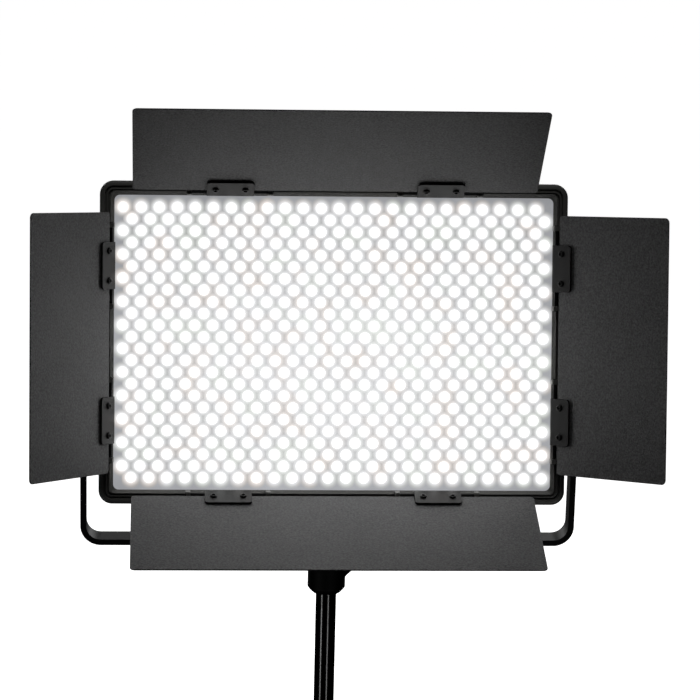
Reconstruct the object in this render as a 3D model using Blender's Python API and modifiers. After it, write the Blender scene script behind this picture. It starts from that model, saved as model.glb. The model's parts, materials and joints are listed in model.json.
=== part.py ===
"""LED panel light with four barn doors, on a tilting yoke with a stand socket.

World frame: metres, +Z up, the lit face looks along -Y, +X is to the right of the
lit face. The origin is the centre of the stand socket's mouth. The head hangs in
the yoke on one tilt axis along X and is stored tilted a little upwards. Each barn
door turns about its own hinge rods at the edge of the window.

In the head's own frame the origin is on the tilt axis, -Y is forwards and +Z is up.
In a barn door's own frame X runs along the hinge, Y outwards and Z to the lit side.
"""
import math

import bmesh
import bpy
from mathutils import Matrix, Vector

MM = 0.001
GAP = 0.3                       # air between two pieces that touch

# ---- head ---------------------------------------------------------------
PANEL_W = 380.0                 # outside of the front bezel
PANEL_H = 262.0
PANEL_CORNER = 11.0
WINDOW_W = 356.4                # lit opening in the bezel
WINDOW_H = 239.0
WINDOW_CORNER = 4.5
FRONT_Y = -30.0                 # frontmost ridge of the bezel, ahead of the tilt axis
LIP_BACK_Y = -26.3
LIP_SLOPE = 2.2                 # how far the inner lip slopes back towards the window
SKIRT_BACK_Y = -18.0
BEZEL_WALL = 2.4
HOUSING_INSET = 2.0             # housing sits this far inside the bezel's outline
HOUSING_REAR_Y = 24.0
HOUSING_WALL = 2.2
STACK_W = 368.0                 # lens plate, light board and heat spreader
STACK_H = 250.0
HEAD_TILT = 14.0                # degrees that the lit face looks up at rest

# ---- yoke and stand socket ----------------------------------------------
PIVOT_Z = 218.1                 # tilt axis above the socket's mouth
BAR_BOTTOM_Z = 43.4
BAR_THICK = 5.0
BAR_DEPTH = 20.5
ARM_INNER_X = 200.9
BEND_INNER_R = 12.0
SOCKET_R = 15.8
SOCKET_BORE_R = 8.25            # takes a 16 mm stand stud
SOCKET_CAP_Z = 38.8             # underside of the cap that closes the socket
SOCKET_FLANGE_R = 19.5
CLAMP_Z = 29.5                  # height of the socket's clamp screw
CLAMP_BOSS_R = 9.0
CLAMP_BOSS_X = 24.5
GUSSET_HALF_WIDTH = 5.0
BOLT_R = 5.0
BOLT_HEAD_R = 9.0

# ---- tilt joint ---------------------------------------------------------
STUD_R = 4.0
BOSS_R = 17.0
BOSS_HUB_R = 10.0
BOSS_HUB_X = 178.0              # inner end of the hub, inside the housing
BOSS_HOLE_X = 181.0             # bottom of the boss's hole for the stud
STUD_END_X = 182.0
BOSS_FACE_X = 198.3
WASHER_R = 14.0
TILT_KNOB_R = 19.0

# ---- barn doors ---------------------------------------------------------
SHEET = 1.2                     # leaf thickness
LEAF_REACH = 118.0              # hinge axis to the leaf's free edge
LEAF_EDGE = 4.2                 # hinge axis to the leaf's near edge
LEAF_CORNER = 4.0
ROD_R = 1.5
ROD_LENGTH = 70.0
LUG_SPREAD = 32.5               # rod centre to each lug's centre
LUG_HALF_LENGTH = 2.0
LUG_HALF_WIDTH = 2.7
LUG_ROOT = 3.2                  # how deep a lug's foot stands in the bezel
KNUCKLE_R = 3.3
KNUCKLE_BORE_R = 1.9
PLATE_LENGTH = 38.0             # hinge plate along the hinge
PLATE_REACH = 18.0
PLATE_THICK = 1.8
PLATE_CORNER = 3.0
LEAF_HINGE_CORNER = 3.0
# name: (outward x, outward z, axis offset, axis y, leaf width, plate offset, lean)
# The lean is the angle in degrees between the leaf and the plane of the panel.
LEAVES = {
    "top": (0, 1, 122.5, -35.5, 327.0, 85.0, 56.6),
    "bottom": (0, -1, 122.5, -35.5, 327.0, 85.0, 65.6),
    "left": (-1, 0, 180.5, -32.5, 211.0, 62.5, 58.5),
    "right": (1, 0, 180.5, -32.5, 211.0, 62.5, 48.4),
}

# ---- rear controls ------------------------------------------------------
PANEL_Z = -85.0                 # middle of the control panel, below the tilt axis
CONTROL_W = 208.0
CONTROL_H = 50.0
CONTROL_THICK = 3.0
CUTOUT_W = 192.0                # opening in the housing behind the control panel
CUTOUT_H = 40.0
DISPLAY_X = 70.0
DISPLAY_W = 46.0
DISPLAY_H = 24.0
BUTTON_XS = (32.0, 18.0, 4.0)
BUTTON_R = 4.0
COLOR_X = -24.0
BRIGHTNESS_X = -55.0
DIAL_R = 12.0
SHAFT_R = 3.0
SWITCH_X = -86.0
SWITCH_OPEN_W = 17.0
SWITCH_OPEN_H = 11.0
SWITCH_WALL = 1.2
SWITCH_RIM = 3.0
ROCKER_Y = 26.5                 # the rocker's axis
ROCKER_TILT = 6.0
ROCKER_HALF = 7.7
DC_X = -142.0
DC_BORE_R = 8.0
DC_FLANGE_HALF = 13.0
PIN_CIRCLE_R = 4.2
BATTERY_W = 90.0
BATTERY_TOP_Z = 92.0
BATTERY_BOTTOM_Z = -38.0
BATTERY_THICK = 10.0
WEDGE_DEPTH = 6.0
RELEASE_X = -30.0
RELEASE_Z = -24.0
RELEASE_HALF_W = 8.0
RELEASE_HALF_H = 5.5
VENT_COUNT = 11
VENT_PITCH = 9.0
VENT_FIRST_X = 66.0
VENT_WIDTH = 3.2
VENT_HEIGHT = 44.0
VENT_Z = 66.0

REAR_FACE_Y = HOUSING_REAR_Y + GAP

for leftover in list(bpy.data.objects):
    bpy.data.objects.remove(leftover, do_unlink=True)

parts = bpy.data.collections.new("led_panel_light")
cutters = bpy.data.collections.new("cutters")
bpy.context.scene.collection.children.link(parts)
bpy.context.scene.collection.children.link(cutters)


def material(name, color, roughness, metallic=0.0):
    made = bpy.data.materials.new(name)
    made.use_nodes = True
    shader = made.node_tree.nodes["Principled BSDF"]
    shader.inputs["Base Color"].default_value = (*color, 1.0)
    shader.inputs["Roughness"].default_value = roughness
    shader.inputs["Metallic"].default_value = metallic
    made.diffuse_color = (*color, 1.0)
    return made


LEAF_PAINT = material("leaf_paint", (0.045, 0.045, 0.047), 0.62)
YOKE_PAINT = material("yoke_paint", (0.012, 0.012, 0.013), 0.5)
HOUSING_PLASTIC = material("housing_plastic", (0.02, 0.02, 0.02), 0.55)
BEZEL_PLASTIC = material("bezel_plastic", (0.03, 0.03, 0.028), 0.5)
KNOB_PLASTIC = material("knob_plastic", (0.012, 0.012, 0.012), 0.6)
BUTTON_RUBBER = material("button_rubber", (0.06, 0.06, 0.06), 0.8)
BLACK_STEEL = material("black_steel", (0.03, 0.03, 0.03), 0.4, 1.0)
BRIGHT_STEEL = material("bright_steel", (0.6, 0.6, 0.6), 0.3, 1.0)
ALUMINIUM = material("aluminium", (0.7, 0.7, 0.72), 0.4, 1.0)
LENS_PLASTIC = material("lens_plastic", (0.9, 0.9, 0.92), 0.3)
BOARD_WHITE = material("board_white", (0.85, 0.85, 0.85), 0.5)
BOARD_GREEN = material("board_green", (0.02, 0.12, 0.05), 0.5)
DISPLAY_GLASS = material("display_glass", (0.01, 0.012, 0.015), 0.08)
WASHER_FIBRE = material("washer_fibre", (0.08, 0.06, 0.05), 0.9)


# ---- shape helpers, all in millimetres ----------------------------------
def add_object(name, bm, surface, parent=None, cutter=False):
    """Makes an object from a bmesh in millimetres."""
    bmesh.ops.scale(bm, vec=(MM, MM, MM), verts=bm.verts)
    mesh = bpy.data.meshes.new(name)
    bm.to_mesh(mesh)
    bm.free()
    made = bpy.data.objects.new(name, mesh)
    (cutters if cutter else parts).objects.link(made)
    if cutter:
        made.hide_render = True
        made.display_type = "WIRE"
    else:
        mesh.materials.append(surface)
    made.parent = parent
    return made


def box_mesh(low, high, corner=0.0, corner_axis=1, segments=3):
    """A box between two corners, its four edges along one axis rounded."""
    bm = bmesh.new()
    bmesh.ops.create_cube(bm, size=1.0)
    size = [b - a for a, b in zip(low, high)]
    middle = [(a + b) / 2 for a, b in zip(low, high)]
    bmesh.ops.scale(bm, vec=size, verts=bm.verts)
    bmesh.ops.translate(bm, vec=middle, verts=bm.verts)
    if corner:
        along = Vector([float(n == corner_axis) for n in range(3)])
        edges = [e for e in bm.edges
                 if abs((e.verts[0].co - e.verts[1].co).normalized().dot(along)) > 0.99]
        bmesh.ops.bevel(bm, geom=edges, offset=corner, segments=segments,
                        affect="EDGES", profile=0.5)
    return bm


def rod_mesh(radius, start, end, sides=12):
    """A cylinder between two points."""
    start, end = Vector(start), Vector(end)
    bm = bmesh.new()
    bmesh.ops.create_cone(bm, cap_ends=True, segments=sides, radius1=radius,
                          radius2=radius, depth=(end - start).length)
    turn = Vector((0, 0, 1)).rotation_difference(end - start).to_matrix().to_4x4()
    bmesh.ops.transform(bm, matrix=Matrix.Translation((start + end) / 2) @ turn,
                        verts=bm.verts)
    return bm


def rounded_ring(half_w, half_h, corner, y, steps=5):
    """Points of a rounded rectangle in the XZ plane, seen from -Y, clockwise."""
    ring = []
    for sx, sz, first in ((1, 1, 90), (1, -1, 0), (-1, -1, -90), (-1, 1, -180)):
        for n in range(steps + 1):
            angle = math.radians(first - 90 * n / steps)
            ring.append(Vector((sx * (half_w - corner) + corner * math.cos(angle), y,
                                sz * (half_h - corner) + corner * math.sin(angle))))
    return ring


def loft_mesh(rings, closed=False):
    """Skins rings of equal length; an open loft gets a flat face at each end."""
    bm = bmesh.new()
    rows = [[bm.verts.new(p) for p in ring] for ring in rings]
    pairs = list(zip(rows, rows[1:]))
    if closed:
        pairs.append((rows[-1], rows[0]))
    for here, there in pairs:
        count = len(here)
        for n in range(count):
            following = (n + 1) % count
            bm.faces.new((here[n], here[following], there[following], there[n]))
    if not closed:
        bm.faces.new(rows[0])
        bm.faces.new(reversed(rows[-1]))
    bmesh.ops.recalc_face_normals(bm, faces=bm.faces)
    return bm


def outline_mesh(points, low, high):
    """A flat outline of (x, y) points, extruded along Z from low to high."""
    bm = bmesh.new()
    face = bm.faces.new([bm.verts.new((x, y, low)) for x, y in points])
    grown = bmesh.ops.extrude_face_region(bm, geom=[face])
    lifted = [v for v in grown["geom"] if isinstance(v, bmesh.types.BMVert)]
    bmesh.ops.translate(bm, vec=(0, 0, high - low), verts=lifted)
    bmesh.ops.recalc_face_normals(bm, faces=bm.faces)
    return bm


def arc(cx, cy, radius, first, last, steps):
    """Points along an arc, angles in degrees."""
    spread = [math.radians(first + (last - first) * n / steps) for n in range(steps + 1)]
    return [(cx + radius * math.cos(a), cy + radius * math.sin(a)) for a in spread]


def turned(name, profile, surface, parent, steps=20, closed=False):
    """A profile of (radius, height) points turned about the object's Z axis."""
    mesh = bpy.data.meshes.new(name)
    points = [(r * MM, 0, z * MM) for r, z in profile]
    edges = [(n, n + 1) for n in range(len(points) - 1)]
    if closed:
        edges.append((len(points) - 1, 0))
    mesh.from_pydata(points, edges, [])
    made = bpy.data.objects.new(name, mesh)
    parts.objects.link(made)
    mesh.materials.append(surface)
    made.parent = parent
    screw = made.modifiers.new("turn", "SCREW")
    screw.steps = steps
    screw.render_steps = steps
    screw.use_merge_vertices = True
    screw.merge_threshold = 0.00001
    screw.use_smooth_shade = False
    return made


def boolean(target, tool, operation="DIFFERENCE"):
    step = target.modifiers.new(operation.lower(), "BOOLEAN")
    step.object = tool
    step.operation = operation
    step.solver = "EXACT"


def cut_box(target, low, high, parent=None):
    boolean(target, add_object("cut_" + target.name, box_mesh(low, high), None, parent, True))


def cut_rod(target, radius, start, end, parent=None, sides=12):
    tool = add_object("bore_" + target.name, rod_mesh(radius, start, end, sides), None,
                      parent, True)
    boolean(target, tool)


def join_mesh(target, bm, parent=None):
    boolean(target, add_object("join_" + target.name, bm, None, parent, True), "UNION")


def gripped_knob(name, stations, lobes, surface, parent, points=28):
    """A knob whose rim waves in and out: stations are (height, radius, wave depth)."""
    rings = []
    for height, radius, wave in stations:
        ring = []
        for n in range(points):
            angle = 2 * math.pi * n / points
            reach = radius + wave * math.cos(lobes * angle)
            ring.append(Vector((reach * math.cos(angle), reach * math.sin(angle), height)))
        rings.append(ring)
    return add_object(name, loft_mesh(rings), surface, parent)


def empty(name, location, rotation, parent=None):
    made = bpy.data.objects.new(name, None)
    parts.objects.link(made)
    made.parent = parent
    made.location = [value * MM for value in location]
    made.rotation_euler = rotation
    return made


head_pivot = empty("head_pivot", (0, 0, PIVOT_Z), (math.radians(-HEAD_TILT), 0, 0))


# ---- yoke: one flat bar bent into a U, standing on the stand socket -------
def yoke_outline():
    """The U in the XZ plane: outer edge left to right, then the inner edge back."""
    top = PIVOT_Z + BAR_DEPTH / 2
    outer_x = ARM_INNER_X + BAR_THICK
    outer_r = BEND_INNER_R + BAR_THICK
    bend_z = BAR_BOTTOM_Z + outer_r
    bend_x = outer_x - outer_r
    return ([(-outer_x, top)] + arc(-bend_x, bend_z, outer_r, 180, 270, 7)
            + arc(bend_x, bend_z, outer_r, 270, 360, 7) + [(outer_x, top)]
            + [(ARM_INNER_X, top)] + arc(bend_x, bend_z, BEND_INNER_R, 360, 270, 7)
            + arc(-bend_x, bend_z, BEND_INNER_R, 270, 180, 7) + [(-ARM_INNER_X, top)])


yoke_bm = outline_mesh(yoke_outline(), -BAR_DEPTH / 2, BAR_DEPTH / 2)
bmesh.ops.rotate(yoke_bm, matrix=Matrix.Rotation(math.pi / 2, 3, "X"), verts=yoke_bm.verts)
arm_top = [e for e in yoke_bm.edges
           if all(v.co.z > PIVOT_Z for v in e.verts)
           and abs(e.verts[0].co.x - e.verts[1].co.x) > BAR_THICK / 2]
bmesh.ops.bevel(yoke_bm, geom=arm_top, offset=BAR_DEPTH / 2 - 0.5, segments=6,
                affect="EDGES", profile=0.5)
yoke = add_object("yoke_bracket", yoke_bm, YOKE_PAINT)
edge_round = yoke.modifiers.new("edge_round", "BEVEL")
edge_round.width = 0.7 * MM
edge_round.segments = 1
edge_round.limit_method = "ANGLE"
edge_round.angle_limit = math.radians(50)
cut_rod(yoke, STUD_R + 2 * GAP, (-220, 0, PIVOT_Z), (220, 0, PIVOT_Z), sides=16)
cut_rod(yoke, BOLT_R + GAP, (0, 0, BAR_BOTTOM_Z - 5), (0, 0, BAR_BOTTOM_Z + 15), sides=16)

socket_top = BAR_BOTTOM_Z - GAP
socket_rim = SOCKET_CAP_Z - GAP
socket = turned("stand_socket", (
    (SOCKET_BORE_R, socket_rim), (SOCKET_FLANGE_R - 0.1, socket_rim), (17.8, 30.0),
    (16.6, 25.0), (SOCKET_R, 19.0), (SOCKET_R, 4.2), (12.3, 0.0),
    (SOCKET_BORE_R + 0.6, 0.0), (SOCKET_BORE_R, 0.8)), YOKE_PAINT, None, steps=24,
    closed=True)
join_mesh(socket, rod_mesh(CLAMP_BOSS_R, (12.0, 0, CLAMP_Z), (CLAMP_BOSS_X, 0, CLAMP_Z), 16))
gusset = outline_mesh(((13.0, 13.0), (15.4, 13.5), (23.8, CLAMP_Z - 7.5), (23.8, CLAMP_Z),
                       (13.0, CLAMP_Z)), -GUSSET_HALF_WIDTH, GUSSET_HALF_WIDTH)
bmesh.ops.rotate(gusset, matrix=Matrix.Rotation(math.pi / 2, 3, "X"), verts=gusset.verts)
join_mesh(socket, gusset)
cut_rod(socket, STUD_R + GAP, (6.0, 0, CLAMP_Z), (30.0, 0, CLAMP_Z))

turned("socket_cap", (
    (BOLT_R + GAP, socket_top), (SOCKET_FLANGE_R, socket_top),
    (SOCKET_FLANGE_R, SOCKET_CAP_Z), (BOLT_R + GAP, SOCKET_CAP_Z)), YOKE_PAINT, None,
    steps=24, closed=True)

bolt_seat = BAR_BOTTOM_Z + BAR_THICK + GAP
turned("socket_bolt", (
    (0, bolt_seat + 2.0), (4.0, bolt_seat + 2.0), (4.0, bolt_seat + 6.0),
    (BOLT_HEAD_R - 0.8, bolt_seat + 6.0), (BOLT_HEAD_R, bolt_seat + 5.2),
    (BOLT_HEAD_R, bolt_seat), (BOLT_R, bolt_seat),
    (BOLT_R, SOCKET_CAP_Z + 0.4), (0, SOCKET_CAP_Z + 0.4)), BLACK_STEEL, None)


# ---- clamp knobs: a moulded grip on a steel screw ------------------------
def clamp_knob(name, screw_name, stations, lobes, hole, screw, place, turn, parent):
    """hole and screw are (start, end) along the knob's own axis."""
    seat = empty(name + "_axis", place, turn, parent)
    knob = gripped_knob(name, stations, lobes, KNOB_PLASTIC, seat)
    cut_rod(knob, STUD_R + GAP, (0, 0, hole[0]), (0, 0, hole[1]), seat)
    add_object(screw_name, rod_mesh(STUD_R, (0, 0, screw[0]), (0, 0, screw[1]), 16),
               BLACK_STEEL, seat)


quarter = math.pi / 2
clamp_knob("socket_clamp_knob", "socket_clamp_screw",
           ((27.0, 6.5, 0.0), (29.5, 7.0, 0.0), (31.0, 9.2, 0.7), (32.0, 9.8, 0.7),
            (42.0, 9.8, 0.7), (43.5, 8.6, 0.4)), 7, (26.0, 39.3), (8.6, 39.0),
           (0, 0, CLAMP_Z), (0, quarter, 0), None)
for side, turn in (("left", -quarter), ("right", quarter)):
    knob_start = ARM_INNER_X + BAR_THICK + GAP
    clamp_knob("tilt_knob_" + side, "tilt_stud_" + side,
               ((knob_start, 10.0, 0.0), (knob_start + 4.0, 10.5, 0.0),
                (knob_start + 5.5, TILT_KNOB_R - 2.2, 1.6),
                (knob_start + 7.0, TILT_KNOB_R - 1.6, 1.6),
                (knob_start + 15.0, TILT_KNOB_R - 1.6, 1.6),
                (knob_start + 17.0, TILT_KNOB_R - 3.6, 1.0)), 7,
               (knob_start - 1.0, knob_start + 13.3), (STUD_END_X, knob_start + 13.0),
               (0, 0, 0), (0, turn, 0), head_pivot)

    # pivot boss screwed to the head's side, with its hub inside the housing wall
    boss_seat = empty("boss_axis_" + side, (0, 0, 0), (0, turn, 0), head_pivot)
    wall_x = PANEL_W / 2 - HOUSING_INSET + GAP
    turned("pivot_boss_" + side, (
        (0, BOSS_HOLE_X), (STUD_R + GAP, BOSS_HOLE_X), (STUD_R + GAP, BOSS_FACE_X),
        (BOSS_R - 1.0, BOSS_FACE_X), (BOSS_R, BOSS_FACE_X - 1.0), (BOSS_R, wall_x),
        (BOSS_HUB_R, wall_x), (BOSS_HUB_R, BOSS_HUB_X), (0, BOSS_HUB_X)), ALUMINIUM, boss_seat)
    turned("friction_washer_" + side, (
        (STUD_R + 2 * GAP, ARM_INNER_X - GAP), (WASHER_R, ARM_INNER_X - GAP),
        (WASHER_R, BOSS_FACE_X + GAP), (STUD_R + 2 * GAP, BOSS_FACE_X + GAP)),
        WASHER_FIBRE, boss_seat, closed=True)


# ---- front bezel: stepped frame round the window, with the hinge lugs ------
def bezel_rings():
    """Closed section, from the outer skirt over the stepped face to the inside."""
    half_w, half_h = PANEL_W / 2, PANEL_H / 2
    # inset from the outline and height behind the frontmost ridge
    steps = ((0.0, SKIRT_BACK_Y - FRONT_Y), (0.0, 2.2), (0.6, 1.0), (1.5, 0.5), (4.0, 0.3),
             (4.4, 0.9), (4.6, 2.6), (5.7, 2.6), (5.9, 0.4), (6.9, 0.2), (7.1, 2.2),
             (8.0, 2.2), (8.2, 0.3), (8.8, 0.0))
    rings = [rounded_ring(half_w - inset, half_h - inset,
                          max(PANEL_CORNER - inset, WINDOW_CORNER), FRONT_Y + back)
             for inset, back in steps]
    for y in (FRONT_Y + LIP_SLOPE, LIP_BACK_Y):
        rings.append(rounded_ring(WINDOW_W / 2, WINDOW_H / 2, WINDOW_CORNER, y))
    for y in (LIP_BACK_Y, SKIRT_BACK_Y):
        rings.append(rounded_ring(half_w - BEZEL_WALL, half_h - BEZEL_WALL,
                                  PANEL_CORNER - BEZEL_WALL, y))
    return rings


def hinge_frame(leaf):
    """Position of a leaf's hinge axis and its X, Y and Z directions at its lean."""
    out_x, out_z, offset, axis_y, _, _, lean = LEAVES[leaf]
    outward, forward = Vector((out_x, 0, out_z)), Vector((0, -1, 0))
    angle = math.radians(lean)
    away = outward * math.cos(angle) + forward * math.sin(angle)
    lit = forward * math.cos(angle) - outward * math.sin(angle)
    along = outward.cross(forward)
    turn = Matrix((along, away, lit)).transposed()
    return outward * offset + Vector((0, axis_y, 0)), along, turn


bezel = add_object("front_bezel", loft_mesh(bezel_rings(), closed=True), BEZEL_PLASTIC,
                   head_pivot)
for leaf, (out_x, out_z, _, axis_y, _, spread, _) in LEAVES.items():
    place, along, _ = hinge_frame(leaf)
    for letter, side in (("a", -1), ("b", 1)):
        middle = place + along * side * spread
        if abs(axis_y + KNUCKLE_R) < abs(FRONT_Y) + 1.0:
            pocket = along * (PLATE_LENGTH / 2 + 1.0)
            reach = Vector((out_x, 0, out_z)) * (KNUCKLE_R + 0.7)
            low = middle - Vector([abs(a) + abs(b) for a, b in zip(pocket, reach)])
            high = middle + Vector([abs(a) + abs(b) for a, b in zip(pocket, reach)])
            low.y = axis_y
            high.y = axis_y + KNUCKLE_R + 0.5
            cut_box(bezel, low, high, head_pivot)
        for end in (-1, 1):
            centre = middle + along * end * LUG_SPREAD
            half = Vector([LUG_HALF_LENGTH if abs(a) > 0.5 else LUG_HALF_WIDTH for a in along])
            low, high = centre - half, centre + half
            low.y = axis_y - LUG_HALF_WIDTH
            high.y = FRONT_Y + LUG_ROOT
            join_mesh(bezel, box_mesh(low, high), head_pivot)
        half_rod = along * (ROD_LENGTH / 2)
        cut_rod(bezel, KNUCKLE_BORE_R, middle - 1.1 * half_rod, middle + 1.1 * half_rod,
                head_pivot, 10)
        add_object("hinge_rod_%s_%s" % (leaf, letter),
                   rod_mesh(ROD_R, middle - half_rod, middle + half_rod), BLACK_STEEL,
                   head_pivot)


# ---- light engine behind the window ---------------------------------------
def flat_plate(name, front_y, thick, surface, corner=6.0):
    low = (-STACK_W / 2, front_y, -STACK_H / 2)
    high = (STACK_W / 2, front_y + thick, STACK_H / 2)
    return add_object(name, box_mesh(low, high, corner), surface, head_pivot)


LENS_Y = LIP_BACK_Y + GAP
flat_plate("lens_plate", LENS_Y, 1.6, LENS_PLASTIC)
flat_plate("led_board", -21.0, 1.6, BOARD_WHITE)
flat_plate("heat_spreader", -19.0, 2.0, ALUMINIUM)

driver = add_object("driver_board", box_mesh((-70, 8.0, -45), (70, 9.6, 45), 3.0),
                    BOARD_GREEN, head_pivot)
for low, high in (((-55, 2.0, -25), (-25, 8.5, 5)), ((-10, 0.0, -30), (10, 8.5, -10)),
                  ((25, 3.0, 0), (55, 8.5, 25)), ((-5, 4.0, 15), (12, 8.5, 30))):
    join_mesh(driver, box_mesh(low, high), head_pivot)


# ---- rear housing: moulded shell with chamfered back, vents and openings ----
def housing_rings():
    half_w, half_h = PANEL_W / 2 - HOUSING_INSET, PANEL_H / 2 - HOUSING_INSET
    corner = PANEL_CORNER - HOUSING_INSET
    # inset and y, down the outside and back up the inside
    outside = ((0.0, SKIRT_BACK_Y + GAP), (0.0, 13.0), (1.2, 15.0), (8.5, 22.8),
               (10.5, HOUSING_REAR_Y))
    inner_rear = HOUSING_REAR_Y - HOUSING_WALL
    inside = ((11.0, inner_rear), (9.5, inner_rear - 1.0), (3.0, 13.5),
              (HOUSING_WALL, 12.0), (HOUSING_WALL, SKIRT_BACK_Y + GAP))
    rings = [rounded_ring(half_w - i, half_h - i, max(corner - i, 4.5), y)
             for i, y in outside]
    return rings, [rounded_ring(half_w - i, half_h - i, max(corner - i, 4.5), y)
                   for i, y in inside]


def shell_mesh(outside, inside):
    """An open cup: a flat floor outside, a flat floor inside, and a rim."""
    bm = bmesh.new()
    rows = [[bm.verts.new(p) for p in ring] for ring in outside + inside]
    count = len(rows[0])
    floor = len(outside)
    for here, there in [(n, n + 1) for n in range(len(rows) - 1) if n + 1 != floor]:
        for n in range(count):
            following = (n + 1) % count
            bm.faces.new((rows[here][n], rows[here][following],
                          rows[there][following], rows[there][n]))
    for n in range(count):
        following = (n + 1) % count
        bm.faces.new((rows[-1][n], rows[-1][following], rows[0][following], rows[0][n]))
    bm.faces.new(rows[floor - 1])
    bm.faces.new(rows[floor])
    bmesh.ops.recalc_face_normals(bm, faces=bm.faces)
    return bm


housing = add_object("rear_housing", shell_mesh(*housing_rings()), HOUSING_PLASTIC, head_pivot)
cut_rod(housing, BOSS_HUB_R + GAP, (-220, 0, 0), (220, 0, 0), head_pivot, 20)
cut_box(housing, (-CUTOUT_W / 2, 10, PANEL_Z - CUTOUT_H / 2),
        (CUTOUT_W / 2, 40, PANEL_Z + CUTOUT_H / 2), head_pivot)
cut_rod(housing, DC_BORE_R + 2.0 + GAP, (DC_X, 0, PANEL_Z), (DC_X, 40, PANEL_Z), head_pivot, 20)
cut_rod(housing, 5.0, (0, 0, 20.0), (0, 40, 20.0), head_pivot)
vents = bmesh.new()
for side in (-1, 1):
    for n in range(VENT_COUNT):
        x = side * (VENT_FIRST_X + VENT_PITCH * n)
        slot = bmesh.ops.create_cube(vents, size=1.0)["verts"]
        bmesh.ops.scale(vents, vec=(VENT_WIDTH, 20.0, VENT_HEIGHT), verts=slot)
        bmesh.ops.translate(vents, vec=(x, HOUSING_REAR_Y, VENT_Z), verts=slot)
boolean(housing, add_object("cut_vents", vents, None, head_pivot, True))

# ---- control panel on the back ------------------------------------------------
panel_back = REAR_FACE_Y
panel_face = panel_back + CONTROL_THICK
panel = add_object("control_panel", box_mesh(
    (-CONTROL_W / 2, panel_back, PANEL_Z - CONTROL_H / 2),
    (CONTROL_W / 2, panel_face, PANEL_Z + CONTROL_H / 2), 5.0), HOUSING_PLASTIC, head_pivot)
cut_box(panel, (DISPLAY_X - DISPLAY_W / 2 - GAP, panel_face - 1.8,
                PANEL_Z - DISPLAY_H / 2 - GAP),
        (DISPLAY_X + DISPLAY_W / 2 + GAP, panel_face + 5, PANEL_Z + DISPLAY_H / 2 + GAP),
        head_pivot)
add_object("display_window", box_mesh(
    (DISPLAY_X - DISPLAY_W / 2, panel_face - 1.5, PANEL_Z - DISPLAY_H / 2),
    (DISPLAY_X + DISPLAY_W / 2, panel_face - 0.1, PANEL_Z + DISPLAY_H / 2), 1.0),
    DISPLAY_GLASS, head_pivot)

for number, x in enumerate(BUTTON_XS, 1):
    cut_rod(panel, BUTTON_R + GAP + 0.1, (x, 15, PANEL_Z), (x, 40, PANEL_Z), head_pivot, 16)
    seat = empty("panel_button_%d_axis" % number, (x, 0, PANEL_Z), (-quarter, 0, 0), head_pivot)
    turned("panel_button_%d" % number, (
        (0, panel_face + 2.2), (BUTTON_R - 0.8, panel_face + 2.2),
        (BUTTON_R, panel_face + 1.4), (BUTTON_R, 21.0), (0, 21.0)),
        BUTTON_RUBBER, seat, steps=16)

for name, x in (("color", COLOR_X), ("brightness", BRIGHTNESS_X)):
    cut_rod(panel, SHAFT_R + GAP + 0.1, (x, 15, PANEL_Z), (x, 40, PANEL_Z), head_pivot)
    seat = empty(name + "_axis", (x, 0, PANEL_Z), (-quarter, 0, 0), head_pivot)
    dial_seat = panel_face + 0.8
    knob = gripped_knob(name + "_knob", (
        (dial_seat, DIAL_R - 0.3, 0.0), (dial_seat + 2.0, DIAL_R, 0.0),
        (dial_seat + 2.6, DIAL_R - 0.9, 0.35), (dial_seat + 13.0, DIAL_R - 1.6, 0.35),
        (dial_seat + 14.0, DIAL_R - 2.8, 0.0)), 12, KNOB_PLASTIC, seat, points=36)
    cut_rod(knob, SHAFT_R + GAP, (0, 0, dial_seat - 2), (0, 0, dial_seat + 9.3), seat)
    add_object(name + "_shaft", rod_mesh(SHAFT_R, (0, 0, 12.0), (0, 0, dial_seat + 9.0)),
               BRIGHT_STEEL, seat)

half_open = (SWITCH_OPEN_W / 2, SWITCH_OPEN_H / 2)
cut_box(panel, (SWITCH_X - half_open[0] - SWITCH_WALL - GAP, 15,
                PANEL_Z - half_open[1] - SWITCH_WALL - GAP),
        (SWITCH_X + half_open[0] + SWITCH_WALL + GAP, 40,
         PANEL_Z + half_open[1] + SWITCH_WALL + GAP), head_pivot)
switch_frame = add_object("switch_frame", box_mesh(
    (SWITCH_X - half_open[0] - SWITCH_WALL, 19.0, PANEL_Z - half_open[1] - SWITCH_WALL),
    (SWITCH_X + half_open[0] + SWITCH_WALL, panel_face + 1.0,
     PANEL_Z + half_open[1] + SWITCH_WALL)), HOUSING_PLASTIC, head_pivot)
join_mesh(switch_frame, box_mesh(
    (SWITCH_X - half_open[0] - SWITCH_RIM, panel_face + GAP, PANEL_Z - half_open[1] - SWITCH_RIM),
    (SWITCH_X + half_open[0] + SWITCH_RIM, panel_face + 1.6, PANEL_Z + half_open[1] + SWITCH_RIM)),
    head_pivot)
cut_box(switch_frame, (SWITCH_X - half_open[0], 10, PANEL_Z - half_open[1]),
        (SWITCH_X + half_open[0], 40, PANEL_Z + half_open[1]), head_pivot)
rocker_seat = empty("power_rocker_axis", (SWITCH_X, ROCKER_Y, PANEL_Z),
                    (0, 0, math.radians(ROCKER_TILT)), head_pivot)
rocker = outline_mesh(((-ROCKER_HALF, -2.5), (ROCKER_HALF, -2.5), (ROCKER_HALF, 3.0),
                       (0.0, 1.8), (-ROCKER_HALF, 3.0)), -half_open[1] + GAP, half_open[1] - GAP)
add_object("power_rocker", rocker, KNOB_PLASTIC, rocker_seat)

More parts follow.
